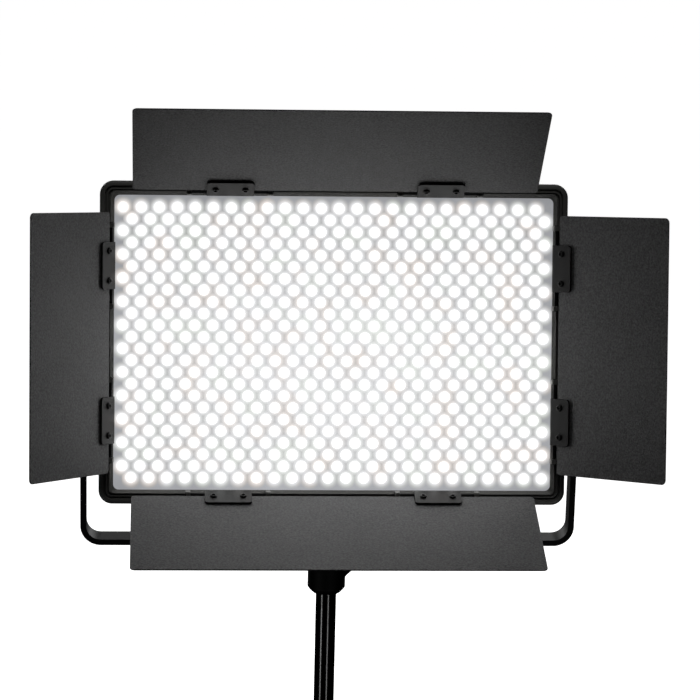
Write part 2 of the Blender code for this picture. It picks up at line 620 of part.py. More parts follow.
# ---- power inlet beside the panel --------------------------------------------
dc = add_object("dc_socket", box_mesh(
    (DC_X - DC_FLANGE_HALF, REAR_FACE_Y, PANEL_Z - DC_FLANGE_HALF),
    (DC_X + DC_FLANGE_HALF, REAR_FACE_Y + 2.0, PANEL_Z + DC_FLANGE_HALF), 3.0),
    BLACK_STEEL, head_pivot)
join_mesh(dc, rod_mesh(DC_BORE_R + 2.0, (DC_X, 8.0, PANEL_Z), (DC_X, 27.5, PANEL_Z), 20),
          head_pivot)
cut_rod(dc, DC_BORE_R, (DC_X, 0.0, PANEL_Z), (DC_X, 40.0, PANEL_Z), head_pivot, 20)
insert = add_object("dc_insert", rod_mesh(DC_BORE_R - GAP - 0.1, (DC_X, 8.5, PANEL_Z),
                                          (DC_X, 12.5, PANEL_Z), 20), KNOB_PLASTIC, head_pivot)
for n in range(4):
    angle = math.radians(45 + 90 * n)
    x = DC_X + PIN_CIRCLE_R * math.cos(angle)
    z = PANEL_Z + PIN_CIRCLE_R * math.sin(angle)
    join_mesh(insert, rod_mesh(1.0, (x, 12.0, z), (x, 18.0, z), 8), head_pivot)

# ---- battery plate: a wedge pocket, open upwards, with contacts and release -----
plate_face = REAR_FACE_Y + BATTERY_THICK
pocket_floor = plate_face - WEDGE_DEPTH
battery = add_object("battery_plate", box_mesh(
    (-BATTERY_W / 2, REAR_FACE_Y, BATTERY_BOTTOM_Z),
    (BATTERY_W / 2, plate_face, BATTERY_TOP_Z), 6.0), HOUSING_PLASTIC, head_pivot)
wedge = outline_mesh(((-14.0, 10.0), (14.0, 10.0), (22.0, BATTERY_TOP_Z + 5),
                      (-22.0, BATTERY_TOP_Z + 5)), 0.0, 20.0)
bmesh.ops.rotate(wedge, matrix=Matrix.Rotation(quarter, 3, "X"), verts=wedge.verts)
bmesh.ops.translate(wedge, vec=(0, pocket_floor + 20.0, 0), verts=wedge.verts)
boolean(battery, add_object("cut_wedge", wedge, None, head_pivot, True))
cut_box(battery, (RELEASE_X - RELEASE_HALF_W - GAP, REAR_FACE_Y + 1.0,
                  RELEASE_Z - RELEASE_HALF_H - GAP),
        (RELEASE_X + RELEASE_HALF_W + GAP, 60, RELEASE_Z + RELEASE_HALF_H + GAP), head_pivot)
add_object("battery_release_button", box_mesh(
    (RELEASE_X - RELEASE_HALF_W, REAR_FACE_Y + 4.6, RELEASE_Z - RELEASE_HALF_H),
    (RELEASE_X + RELEASE_HALF_W, plate_face + 3.2, RELEASE_Z + RELEASE_HALF_H), 1.6),
    BUTTON_RUBBER, head_pivot)
contacts = add_object("battery_contacts", box_mesh(
    (-11.0, pocket_floor + GAP, 12.0), (11.0, pocket_floor + 3.0, 20.0)), KNOB_PLASTIC,
    head_pivot)
for n in range(4):
    x = -7.5 + 5.0 * n
    join_mesh(contacts, box_mesh((x - 0.6, pocket_floor + 0.8, 19.0),
                                 (x + 0.6, pocket_floor + 2.4, 26.0)), head_pivot)


# ---- barn doors: a flat leaf on two curled hinge plates ---------------------------
def leaf_outline(width):
    """A rectangle with rounded corners, from the hinge end to the free edge."""
    half = width / 2
    inner = half - LEAF_CORNER
    tip = LEAF_REACH - LEAF_CORNER
    near = half - LEAF_HINGE_CORNER
    shoulder = LEAF_EDGE + LEAF_HINGE_CORNER
    return (arc(-near, shoulder, LEAF_HINGE_CORNER, 180, 270, 4)
            + arc(near, shoulder, LEAF_HINGE_CORNER, 270, 360, 4)
            + arc(inner, tip, LEAF_CORNER, 0, 90, 5)
            + arc(-inner, tip, LEAF_CORNER, 90, 180, 5))


def hinge_plate_mesh(middle):
    """A strip curled round the rod; its section is drawn in YZ and run along X."""
    under = KNUCKLE_R - PLATE_THICK
    meet = math.degrees(math.asin(under / KNUCKLE_BORE_R))
    section = ([(PLATE_REACH, KNUCKLE_R)] + arc(0, 0, KNUCKLE_R, 90, 345, 9)
               + arc(0, 0, KNUCKLE_BORE_R, 345, meet, 8) + [(PLATE_REACH, under)])
    bm = outline_mesh(section, -PLATE_LENGTH / 2, PLATE_LENGTH / 2)
    frame = Matrix(((0, 0, 1), (1, 0, 0), (0, 1, 0)))
    bmesh.ops.rotate(bm, matrix=frame, verts=bm.verts)
    corners = [e for e in bm.edges
               if all(v.co.y > PLATE_REACH - 0.01 for v in e.verts)
               and abs(e.verts[0].co.z - e.verts[1].co.z) > 1.0]
    bmesh.ops.bevel(bm, geom=corners, offset=PLATE_CORNER, segments=3, affect="EDGES", profile=0.5)
    bmesh.ops.translate(bm, vec=(middle, 0, 0), verts=bm.verts)
    return bm


for leaf, (_, _, _, _, width, spread, _) in LEAVES.items():
    place, _, turn = hinge_frame(leaf)
    hinge = empty("hinge_" + leaf, place, turn.to_euler(), head_pivot)
    add_object("barn_leaf_" + leaf, outline_mesh(leaf_outline(width), 0.0, SHEET),
               LEAF_PAINT, hinge)
    for letter, side in (("a", -1), ("b", 1)):
        add_object("hinge_plate_%s_%s" % (leaf, letter), hinge_plate_mesh(side * spread),
                   BLACK_STEEL, hinge)

for made in parts.objects:
    if made.type == "MESH" and made.data.polygons:
        made.data.shade_smooth()
        made.data.set_sharp_from_angle(angle=math.radians(35))
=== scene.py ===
"""Looks of the LED panel light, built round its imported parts.

World frame: metres, +Z up, the lit face looks along -Y. Sizes below are millimetres,
and MM turns them to metres. In the head's own frame the origin is on the tilt axis,
-Y is forwards and +Z is up. In a barn door's own frame X runs along the hinge, Y
outwards and Z to the lit side.
"""

import json
import math
import random

import bmesh
import bpy
from mathutils import Matrix, Vector

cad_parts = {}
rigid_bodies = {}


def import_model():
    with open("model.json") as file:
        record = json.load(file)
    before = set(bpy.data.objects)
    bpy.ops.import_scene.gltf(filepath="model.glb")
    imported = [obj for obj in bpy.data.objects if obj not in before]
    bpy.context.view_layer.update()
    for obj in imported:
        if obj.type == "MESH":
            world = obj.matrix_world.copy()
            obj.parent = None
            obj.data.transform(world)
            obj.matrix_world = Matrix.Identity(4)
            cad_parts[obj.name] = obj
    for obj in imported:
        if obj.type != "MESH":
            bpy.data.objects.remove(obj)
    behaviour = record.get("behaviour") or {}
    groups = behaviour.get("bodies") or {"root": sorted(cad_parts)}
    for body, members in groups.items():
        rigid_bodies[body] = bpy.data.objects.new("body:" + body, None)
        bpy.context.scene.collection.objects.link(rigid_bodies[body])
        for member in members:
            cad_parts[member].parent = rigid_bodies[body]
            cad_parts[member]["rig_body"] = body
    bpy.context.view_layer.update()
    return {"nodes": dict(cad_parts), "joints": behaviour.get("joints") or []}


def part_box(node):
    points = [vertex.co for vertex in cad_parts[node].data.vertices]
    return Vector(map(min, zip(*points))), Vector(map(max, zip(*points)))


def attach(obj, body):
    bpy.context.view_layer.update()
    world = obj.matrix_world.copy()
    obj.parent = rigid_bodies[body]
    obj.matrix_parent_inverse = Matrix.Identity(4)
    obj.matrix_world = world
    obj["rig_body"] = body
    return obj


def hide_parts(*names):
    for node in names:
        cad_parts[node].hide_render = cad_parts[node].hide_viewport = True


MM = 0.001
GAP = 0.3                       # air between two pieces that touch

# ---- head, in its own frame ---------------------------------------------
PANEL_W, PANEL_H, PANEL_CORNER = 380.0, 262.0, 11.0
WINDOW_W, WINDOW_H, WINDOW_CORNER = 356.4, 239.0, 4.5
FRONT_Y, LIP_BACK_Y, SKIRT_BACK_Y = -30.0, -26.3, -18.0
LIP_SLOPE = 2.2                 # how far the inner lip slopes back towards the window
BEZEL_WALL = 2.4
HOUSING_INSET, HOUSING_WALL, HOUSING_REAR_Y = 2.0, 2.2, 24.0
STACK_W, STACK_H, STACK_CORNER = 368.0, 250.0, 6.0

# ---- lenses --------------------------------------------------------------
LENS_COLUMNS = 24
LENS_ROWS = 24
LENS_PITCH_X = 14.57
LENS_PITCH_Z = 9.54
LENS_R = 4.65
LENS_RISE = 1.7
LENS_SIDES = 14
LENS_SHEET = 1.6                # thickness of the flat sheet under the domes
CORE_GLOW = 5.5                 # brightness of a lens over its middle
SPOT_HALF_W, SPOT_HALF_H, SPOT_DROP = 190.0, 125.0, 20.0

# ---- barn doors -----------------------------------------------------------
SHEET = 1.2
LEAF_REACH, LEAF_EDGE, LEAF_CORNER = 118.0, 4.2, 4.0
LEAF_HINGE_CORNER = 3.0
LEAF_WIDTHS = {"top": 327.0, "bottom": 327.0, "left": 211.0, "right": 211.0}
PLATE_OFFSETS = {"top": 85.0, "bottom": 85.0, "left": 62.5, "right": 62.5}
ROD_R, ROD_LENGTH = 1.5, 70.0
LUG_SPREAD, LUG_HALF_LENGTH, LUG_HALF_WIDTH = 32.5, 2.0, 2.7
LUG_ROOT, LUG_ROUND = 3.2, 1.8
KNUCKLE_R, KNUCKLE_BORE_R = 3.3, 1.9
PLATE_LENGTH, PLATE_REACH, PLATE_THICK, PLATE_CORNER = 38.0, 18.0, 1.8, 3.0
SCREW_SPREAD, SCREW_REACH, SCREW_R = 12.0, 8.2, 2.75
NOTCH_END_GAP, NOTCH_SIDE_GAP, NOTCH_BACK_GAP = 1.0, 0.7, 0.5   # round a knuckle

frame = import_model()
joints = {joint["name"]: joint for joint in frame["joints"]}
pivot = Vector(joints["head_tilt"]["pos_m"])
head_up = Vector(joints["leaf_left_hinge"]["axis"])
HEAD = Matrix.Translation(pivot) @ Matrix.Rotation(-math.atan2(head_up.y, head_up.z), 4, "X")
FORWARD = HEAD.to_3x3() @ Vector((0, -1, 0))
WORLD = Matrix.Identity(4)
QUARTER = math.pi / 2
rng = random.Random(7)


# ---- materials ------------------------------------------------------------
class Graph:
    """Adds nodes to a material and wires them up."""

    def __init__(self, name):
        self.material = bpy.data.materials.new(name + "_look")
        self.material.use_nodes = True
        self.nodes = self.material.node_tree.nodes
        self.links = self.material.node_tree.links
        self.shader = self.nodes["Principled BSDF"]
        self.place = self.nodes.new("ShaderNodeTexCoord").outputs["Object"]

    def feed(self, value, socket):
        if isinstance(value, bpy.types.NodeSocket):
            self.links.new(value, socket)
        else:
            socket.default_value = value

    def math(self, operation, a, b=0.0, c=0.0):
        node = self.nodes.new("ShaderNodeMath")
        node.operation = operation
        for value, socket in zip((a, b, c), node.inputs):
            self.feed(value, socket)
        return node.outputs[0]

    def noise(self, size, detail=2.0, roughness=0.5, place=None):
        """Noise whose features are about size millimetres across."""
        node = self.nodes.new("ShaderNodeTexNoise")
        self.links.new(place or self.place, node.inputs["Vector"])
        node.inputs["Scale"].default_value = 1.0 / (size * MM)
        node.inputs["Detail"].default_value = detail
        node.inputs["Roughness"].default_value = roughness
        return node.outputs["Fac"]

    def spread(self, value, low, high, start=0.3, end=0.7, smooth=False):
        """Maps start..end of a value to low..high."""
        node = self.nodes.new("ShaderNodeMapRange")
        node.interpolation_type = "SMOOTHSTEP" if smooth else "LINEAR"
        self.feed(value, node.inputs["Value"])
        for name, number in (("From Min", start), ("From Max", end),
                             ("To Min", low), ("To Max", high)):
            self.feed(number, node.inputs[name])
        return node.outputs["Result"]

    def ramp(self, value, *stops):
        """Colour stops of (position, (r, g, b))."""
        node = self.nodes.new("ShaderNodeValToRGB")
        self.links.new(value, node.inputs["Fac"])
        for n, (position, color) in enumerate(stops):
            stop = (node.color_ramp.elements[n] if n < 2
                    else node.color_ramp.elements.new(position))
            stop.position = position
            stop.color = (*color, 1.0)
        return node.outputs["Color"]

    def blend(self, share, first, second):
        """Mixes two colours."""
        node = self.nodes.new("ShaderNodeMixRGB")
        for value, socket in zip((share, first, second), node.inputs):
            self.feed(value, socket)
        return node.outputs["Color"]

    def bump(self, height, depth, strength=1.0, under=None):
        """Depth is in millimetres."""
        node = self.nodes.new("ShaderNodeBump")
        node.inputs["Distance"].default_value = depth * MM
        node.inputs["Strength"].default_value = strength
        self.links.new(height, node.inputs["Height"])
        if under:
            self.links.new(under, node.inputs["Normal"])
        return node.outputs["Normal"]


def grained(name, dark, light, roughness, grain, depth, metallic=0.0, specular=0.5,
            patch=45.0, drift=0.45):
    """Painted, cast or moulded finish: a fine grain over broad drifts of colour.

    dark and light are colours, roughness is (low, high), grain and patch are sizes and
    depth a height in millimetres. drift is the share of the broad patches.
    """
    g = Graph(name)
    fine = g.noise(grain, 3.0, 0.6)
    broad = g.noise(patch, 2.0, 0.5)
    tone = g.math("ADD", g.math("MULTIPLY", fine, 1.0 - drift),
                  g.math("MULTIPLY", broad, drift))
    g.feed(g.ramp(tone, (0.35, dark), (0.65, light)), g.shader.inputs["Base Color"])
    g.feed(g.spread(tone, *roughness), g.shader.inputs["Roughness"])
    g.shader.inputs["Metallic"].default_value = metallic
    g.shader.inputs["Specular IOR Level"].default_value = specular
    g.feed(g.bump(fine, depth), g.shader.inputs["Normal"])
    return g.material


def gray(value, blue=1.0):
    return (value, value, value * blue)


LEAF_PAINT = grained("leaf_paint", gray(0.042), gray(0.132, 1.02), (0.6, 0.75), 1.6, 0.16,
                     specular=0.25, patch=120.0, drift=0.2)
YOKE_PAINT = grained("yoke_paint", gray(0.012), gray(0.022), (0.5, 0.65), 0.9, 0.06,
                     specular=0.1)
HOUSING_PLASTIC = grained("housing_plastic", gray(0.018), gray(0.032), (0.45, 0.62), 0.6,
                          0.06, specular=0.4)
BEZEL_PLASTIC = grained("bezel_plastic", (0.115, 0.115, 0.108), (0.165, 0.165, 0.155),
                        (0.36, 0.5), 0.8, 0.05, specular=0.5)
KNOB_PLASTIC = grained("knob_plastic", gray(0.008), gray(0.016), (0.4, 0.55), 0.5, 0.04,
                       specular=0.4)
BUTTON_RUBBER = grained("button_rubber", gray(0.04), gray(0.06), (0.7, 0.85), 0.4, 0.03)
BLACK_STEEL = grained("black_steel", gray(0.006), gray(0.012), (0.42, 0.56), 0.5, 0.02,
                      specular=0.15)
BRIGHT_STEEL = grained("bright_steel", gray(0.5), gray(0.62), (0.22, 0.34), 0.4, 0.01,
                       metallic=1.0)
ALUMINIUM = grained("aluminium", gray(0.55), gray(0.68), (0.32, 0.45), 0.5, 0.015,
                    metallic=1.0)
BOARD_WHITE = grained("board_white", gray(0.78), gray(0.85), (0.4, 0.5), 0.8, 0.01)
BOARD_GREEN = grained("board_green", (0.012, 0.09, 0.035), (0.02, 0.13, 0.05), (0.35, 0.45),
                      3.0, 0.02)
WASHER_FIBRE = grained("washer_fibre", (0.05, 0.035, 0.025), (0.1, 0.07, 0.055),
                       (0.85, 0.95), 0.35, 0.08)
MARKING = grained("marking", gray(0.62), gray(0.7), (0.6, 0.7), 0.5, 0.005)
DISPLAY_GLASS = grained("display_glass", gray(0.008, 1.2), gray(0.011, 1.2), (0.05, 0.09),
                        4.0, 0.002)


def lens_material():
    """Frosted acrylic lit from behind: each lens glows, and the sheet between is dimmer."""
    g = Graph("lens_plastic")
    split = g.nodes.new("ShaderNodeSeparateXYZ")
    g.links.new(g.place, split.inputs[0])
    pitch_x, pitch_z = LENS_PITCH_X * MM, LENS_PITCH_Z * MM
    top = (LENS_ROWS - 1) / 2 * pitch_z
    near = []
    for odd in (0, 1):
        first = (0.5 * odd - (LENS_COLUMNS - 0.5) / 2) * pitch_x
        x = g.math("SUBTRACT", split.outputs["X"], first)
        z = g.math("SUBTRACT", split.outputs["Z"], top - odd * pitch_z)
        across = g.math("WRAP", x, pitch_x / 2, -pitch_x / 2)
        down = g.math("WRAP", z, pitch_z, -pitch_z)
        reach = g.math("SQRT", g.math("ADD", g.math("MULTIPLY", across, across),
                                      g.math("MULTIPLY", down, down)))
        # no lens past the ends of a row, nor above the first row or below the last
        beside = g.math("ADD", g.math("LESS_THAN", x, -pitch_x / 2),
                        g.math("GREATER_THAN", x, (LENS_COLUMNS - 0.5) * pitch_x))
        past = g.math("ADD", g.math("GREATER_THAN", z, 0.95 * pitch_z),
                      g.math("LESS_THAN", z, -(LENS_ROWS - 1.05) * pitch_z))
        near.append(g.math("ADD", reach, g.math("ADD", beside, past)))
    radius = g.math("MINIMUM", *near)
    # the sheet between the lenses is brightest a little below the middle
    aside = g.math("DIVIDE", split.outputs["X"], SPOT_HALF_W * MM)
    aloft = g.math("DIVIDE", g.math("ADD", split.outputs["Z"], SPOT_DROP * MM),
                   SPOT_HALF_H * MM)
    spot = g.math("SQRT", g.math("ADD", g.math("MULTIPLY", aside, aside),
                                 g.math("MULTIPLY", aloft, aloft)))
    fall = g.spread(spot, 1.0, 1.62, 0.3, 1.35)
    loss = g.math("ADD", g.spread(radius, 0.0, 0.19, 4.15 * MM, 5.5 * MM),
                  g.spread(radius, 0.0, 0.14, 5.5 * MM, 7.3 * MM))
    loss = g.math("ADD", g.math("MULTIPLY", loss, fall),
                  g.spread(radius, 0.0, 0.1, 7.0 * MM, 9.0 * MM))
    core = g.spread(radius, CORE_GLOW, 0.0, 2.0 * MM, 4.5 * MM, smooth=True)
    core_glow = g.math("MULTIPLY", core, g.spread(spot, 1.45, 0.2, 0.3, 1.35))
    drift = g.spread(g.noise(30.0), 0.9, 0.98)
    strength = g.math("ADD", g.math("SUBTRACT", drift, loss), core_glow)
    sheet = g.ramp(g.noise(26.0, 1.0), (0.3, (1.0, 0.94, 0.9)), (0.5, (0.98, 0.985, 1.0)),
                   (0.7, (0.97, 1.0, 0.965)))
    tint = g.blend(g.spread(radius, 0.0, 1.0, 7.6 * MM, 9.0 * MM), sheet,
                   (0.93, 0.95, 1.0, 1.0))
    g.feed(tint, g.shader.inputs["Emission Color"])
    g.feed(strength, g.shader.inputs["Emission Strength"])
    g.feed(g.ramp(g.noise(8.0), (0.3, gray(0.28)), (0.7, gray(0.34))),
           g.shader.inputs["Base Color"])
    g.shader.inputs["Roughness"].default_value = 0.45
    g.feed(g.bump(g.noise(0.5), 0.02), g.shader.inputs["Normal"])
    return g.material


LENS_PLASTIC = lens_material()


# ---- making and placing pieces ---------------------------------------------
SHARP = 35                      # degrees between faces that make an edge


def mesh_of(name, bm):
    """The bmesh as a mesh, used up."""
    mesh = bpy.data.meshes.new(name)
    bm.to_mesh(mesh)
    bm.free()
    return mesh


def to_metres(bm):
    bmesh.ops.scale(bm, vec=(MM, MM, MM), verts=bm.verts)
    return bm


def turned_to(bm, matrix):
    bmesh.ops.transform(bm, matrix=matrix, verts=bm.verts)
    return bm


def linked(name, data):
    """A new object in the scene."""
    made = bpy.data.objects.new(name, data)
    bpy.context.scene.collection.objects.link(made)
    return made


def painted(mesh, paint, sharp=SHARP):
    """One paint, and shading that is smooth up to an angle in degrees."""
    mesh.materials.clear()
    mesh.materials.append(paint)
    mesh.shade_smooth()
    mesh.set_sharp_from_angle(angle=math.radians(sharp))
    return mesh


def piece(name, bm, paint, body, place=WORLD, stands_for=(), edge=0.0, steps=2,
          sharp=SHARP):
    """A bmesh in millimetres, in the frame of place, becomes a piece on a body."""
    return finish_piece(name, mesh_of(name, to_metres(bm)), paint, body, place, stands_for,
                        edge, steps, sharp)


def finish_piece(name, mesh, paint, body, place, stands_for, edge, steps, sharp):
    made = linked(name, painted(mesh, paint, sharp))
    made.matrix_world = place
    if edge:
        soften = made.modifiers.new("soft_edges", "BEVEL")
        soften.width = edge * MM
        soften.segments = steps
        soften.limit_method = "ANGLE"
        soften.angle_limit = math.radians(sharp)
        soften.harden_normals = True
    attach(made, body)
    if stands_for:
        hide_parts(*stands_for)
    return made


def polish(node, paint, edge, steps=2):
    """The part's own mesh with softened edges, standing for the part."""
    source = frame["nodes"][node]
    bm = bmesh.new()
    bm.from_mesh(source.data)
    bmesh.ops.remove_doubles(bm, verts=bm.verts, dist=0.01 * MM)
    bmesh.ops.dissolve_limit(bm, angle_limit=math.radians(1), verts=bm.verts, edges=bm.edges)
    name = node + "_look"
    return finish_piece(name, mesh_of(name, bm), paint, source["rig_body"], WORLD, (node,),
                        edge, steps, SHARP)


def cut(target, bm, place=WORLD, operation="DIFFERENCE"):
    """Cuts a bmesh in millimetres out of a piece, or joins it on."""
    tool = linked("tool", mesh_of("tool", turned_to(to_metres(bm), place)))
    step = target.modifiers.new("shape", "BOOLEAN")
    step.object = tool
    step.operation = operation
    step.solver = "EXACT"
    target.modifiers.move(len(target.modifiers) - 1, 0)
    bpy.context.view_layer.update()
    shaped = bpy.data.meshes.new_from_object(step_result(target))
    target.modifiers.remove(target.modifiers["shape"])
    target.data = shaped
    bpy.data.objects.remove(tool)


def step_result(target):
    """The object evaluated with its first modifier alone."""
    others = list(target.modifiers)[1:]
    for m in others:
        m.show_viewport = False
    bpy.context.view_layer.update()
    result = target.evaluated_get(bpy.context.evaluated_depsgraph_get())
    for m in others:
        m.show_viewport = True
    return result


# ---- shapes in millimetres --------------------------------------------------
def box(low, high, corner=0.0, corner_axis=1, segments=6):
    bm = bmesh.new()
    bmesh.ops.create_cube(bm, size=1.0)
    bmesh.ops.scale(bm, vec=[b - a for a, b in zip(low, high)], verts=bm.verts)
    bmesh.ops.translate(bm, vec=[(a + b) / 2 for a, b in zip(low, high)], verts=bm.verts)
    if corner:
        run = Vector([float(n == corner_axis) for n in range(3)])
        edges = [e for e in bm.edges
                 if abs((e.verts[0].co - e.verts[1].co).normalized().dot(run)) > 0.99]
        bmesh.ops.bevel(bm, geom=edges, offset=corner, segments=segments, affect="EDGES",
                        profile=0.5)
    return bm


def rod(radius, start, end, sides=32):
    start, end = Vector(start), Vector(end)
    bm = bmesh.new()
    bmesh.ops.create_cone(bm, cap_ends=True, segments=sides, radius1=radius,
                          radius2=radius, depth=(end - start).length)
    turn = Vector((0, 0, 1)).rotation_difference(end - start).to_matrix().to_4x4()
    bmesh.ops.transform(bm, matrix=Matrix.Translation((start + end) / 2) @ turn,
                        verts=bm.verts)
    return bm


def lathe(profile, sides=64, closed=False):
    """A profile of (radius, height) points turned about Z."""
    bm = bmesh.new()
    rows = []
    for radius, height in profile:
        if radius < 1e-6:
            rows.append([bm.verts.new((0, 0, height))])
        else:
            rows.append([bm.verts.new((radius * math.cos(2 * math.pi * n / sides),
                                       radius * math.sin(2 * math.pi * n / sides), height))
                         for n in range(sides)])
    pairs = list(zip(rows, rows[1:]))
    if closed:
        pairs.append((rows[-1], rows[0]))
    for here, there in pairs:
        for n in range(sides):
            following = (n + 1) % sides
            corners = [here[n % len(here)], here[following % len(here)],
                       there[following % len(there)], there[n % len(there)]]
            bm.faces.new(list(dict.fromkeys(corners)))
    bmesh.ops.recalc_face_normals(bm, faces=bm.faces)
    return bm


def rounded_ring(half_w, half_h, corner, y, steps=12):
    """Points of a rounded rectangle in the XZ plane, seen from -Y, clockwise."""
    ring = []
    for sx, sz, first in ((1, 1, 90), (1, -1, 0), (-1, -1, -90), (-1, 1, -180)):
        for n in range(steps + 1):
            angle = math.radians(first - 90 * n / steps)
            ring.append(Vector((sx * (half_w - corner) + corner * math.cos(angle), y,
                                sz * (half_h - corner) + corner * math.sin(angle))))
    return ring


def loft(rings, closed=False):
    bm = bmesh.new()
    rows = [[bm.verts.new(p) for p in ring] for ring in rings]
    pairs = list(zip(rows, rows[1:]))
    if closed:
        pairs.append((rows[-1], rows[0]))
    for here, there in pairs:
        count = len(here)
        for n in range(count):
            following = (n + 1) % count
            bm.faces.new((here[n], here[following], there[following], there[n]))
    if not closed:
        bm.faces.new(rows[0])
        bm.faces.new(reversed(rows[-1]))
    bmesh.ops.recalc_face_normals(bm, faces=bm.faces)
    return bm


def outline(points, low, high):
    """A flat outline of (x, y) points, extruded along Z from low to high."""
    bm = bmesh.new()
    face = bm.faces.new([bm.verts.new((x, y, low)) for x, y in points])
    grown = bmesh.ops.extrude_face_region(bm, geom=[face])
    lifted = [v for v in grown["geom"] if isinstance(v, bmesh.types.BMVert)]
    bmesh.ops.translate(bm, vec=(0, 0, high - low), verts=lifted)
    bmesh.ops.recalc_face_normals(bm, faces=bm.faces)
    return bm


def arc(cx, cy, radius, first, last, steps):
    """Points along an arc, angles in degrees."""
    spread = [math.radians(first + (last - first) * n / steps) for n in range(steps + 1)]
    return [(cx + radius * math.cos(a), cy + radius * math.sin(a)) for a in spread]


def gripped(stations, lobes, points=112):
    """A knob whose rim waves in and out: stations are (height, radius, wave depth)."""
    rings = []
    for height, radius, wave in stations:
        ring = []
        for n in range(points):
            angle = 2 * math.pi * n / points
            reach = radius + wave * math.cos(lobes * angle)
            ring.append(Vector((reach * math.cos(angle), reach * math.sin(angle), height)))
        rings.append(ring)
    return loft(rings)


def joined(*parts):
    """Several bmeshes as one, each left as its own island."""
    whole = bmesh.new()
    for part in parts:
        mesh = mesh_of("joined", part)
        whole.from_mesh(mesh)
        bpy.data.meshes.remove(mesh)
    return whole


def screw_head(radius, rise, socket=0.55):
    """A button head with a six-sided recess, standing on z = 0 and pointing up."""
    profile = ([(0.0, rise * 0.35), (radius * socket * 0.9, rise * 0.35),
                (radius * socket, rise)]
               + [(radius * (socket + (1 - socket) * t), rise * math.sqrt(1 - t ** 3 * 0.9))
                  for t in (0.35, 0.65, 0.85, 1.0)] + [(radius, 0.0)])
    bm = lathe(profile, 24)
    for v in bm.verts:
        reach = math.hypot(v.co.x, v.co.y)
        if 0 < reach <= radius * socket * 1.01:
            angle = math.atan2(v.co.y, v.co.x)
            flat = math.cos(math.pi / 6) / math.cos((angle % (math.pi / 3)) - math.pi / 6)
            v.co.x *= flat
            v.co.y *= flat
    return bm


def along(direction, place):
    """Turns +Z to a direction and moves the origin to a place."""
    turn = Vector((0, 0, 1)).rotation_difference(Vector(direction)).to_matrix().to_4x4()
    return Matrix.Translation(Vector(place)) @ turn


# ---- lens plate --------------------------------------------------------------
def lens_mesh():
    """The sheet with its domes, which all share one small profile."""
    front = LIP_BACK_Y + GAP
    bm = box((-STACK_W / 2, front, -STACK_H / 2),
             (STACK_W / 2, front + LENS_SHEET, STACK_H / 2), STACK_CORNER)
    # shares of the lens's radius and rise, from its middle to its edge
    profile = ((0.0, 1.0), (0.38, 0.93), (0.7, 0.72), (0.9, 0.4), (1.0, -0.05))
    for row in range(LENS_ROWS):
        z = ((LENS_ROWS - 1) / 2 - row) * LENS_PITCH_Z
        for column in range(LENS_COLUMNS):
            x = (column + 0.5 * (row % 2) - (LENS_COLUMNS - 0.5) / 2) * LENS_PITCH_X
            rings = []
            for share, rise in profile:
                y = front - rise * LENS_RISE
                if share == 0.0:
                    rings.append([bm.verts.new((x, y, z))])
                    continue
                rings.append([bm.verts.new((x + share * LENS_R * math.cos(a), y,
                                            z + share * LENS_R * math.sin(a)))
                              for a in (2 * math.pi * n / LENS_SIDES
                                        for n in range(LENS_SIDES))])
            for here, there in zip(rings, rings[1:]):
                for n in range(LENS_SIDES):
                    following = (n + 1) % LENS_SIDES
                    corners = [here[n % len(here)], here[following % len(here)],
                               there[following], there[n]]
                    bm.faces.new(list(dict.fromkeys(corners)))
    return bm


piece("lens_plate_look", lens_mesh(), LENS_PLASTIC, "head", HEAD, ("lens_plate",), sharp=50)


# ---- barn doors ----------------------------------------------------------------
def hinge_place(leaf):
    """The frame of a leaf at rest, from its joint."""
    joint = joints["leaf_%s_hinge" % leaf]
    hinge = Vector(joint["axis"])
    lean = math.radians(-joint["range_deg"][0])
    outward = FORWARD.cross(hinge)
    away = outward * math.cos(lean) + FORWARD * math.sin(lean)
    lit = FORWARD * math.cos(lean) - outward * math.sin(lean)
    turn = Matrix((hinge, away, lit)).transposed().to_4x4()
    return Matrix.Translation(joint["pos_m"]) @ turn


def leaf_outline(width):
    half = width / 2
    inner = half - LEAF_CORNER
    tip = LEAF_REACH - LEAF_CORNER
    near = half - LEAF_HINGE_CORNER
    shoulder = LEAF_EDGE + LEAF_HINGE_CORNER
    return (arc(-near, shoulder, LEAF_HINGE_CORNER, 180, 270, 10)
            + arc(near, shoulder, LEAF_HINGE_CORNER, 270, 360, 10)
            + arc(inner, tip, LEAF_CORNER, 0, 90, 12)
            + arc(-inner, tip, LEAF_CORNER, 90, 180, 12))


def hinge_plate(middle):
    """A strip curled round the rod, its section drawn in YZ and run along X."""
    under = KNUCKLE_R - PLATE_THICK
    meet = math.degrees(math.asin(under / KNUCKLE_BORE_R))
    section = ([(PLATE_REACH, KNUCKLE_R)] + arc(0, 0, KNUCKLE_R, 90, 345, 28)
               + arc(0, 0, KNUCKLE_BORE_R, 345, meet, 24) + [(PLATE_REACH, under)])
    bm = outline(section, -PLATE_LENGTH / 2, PLATE_LENGTH / 2)
    turned_to(bm, Matrix(((0, 0, 1), (1, 0, 0), (0, 1, 0))).to_4x4())
    corners = [e for e in bm.edges
               if all(v.co.y > PLATE_REACH - 0.01 for v in e.verts)
               and abs(e.verts[0].co.z - e.verts[1].co.z) > 1.0]
    bmesh.ops.bevel(bm, geom=corners, offset=PLATE_CORNER, segments=8, affect="EDGES",
                    profile=0.5)
    bmesh.ops.translate(bm, vec=(middle, 0, 0), verts=bm.verts)
    return bm


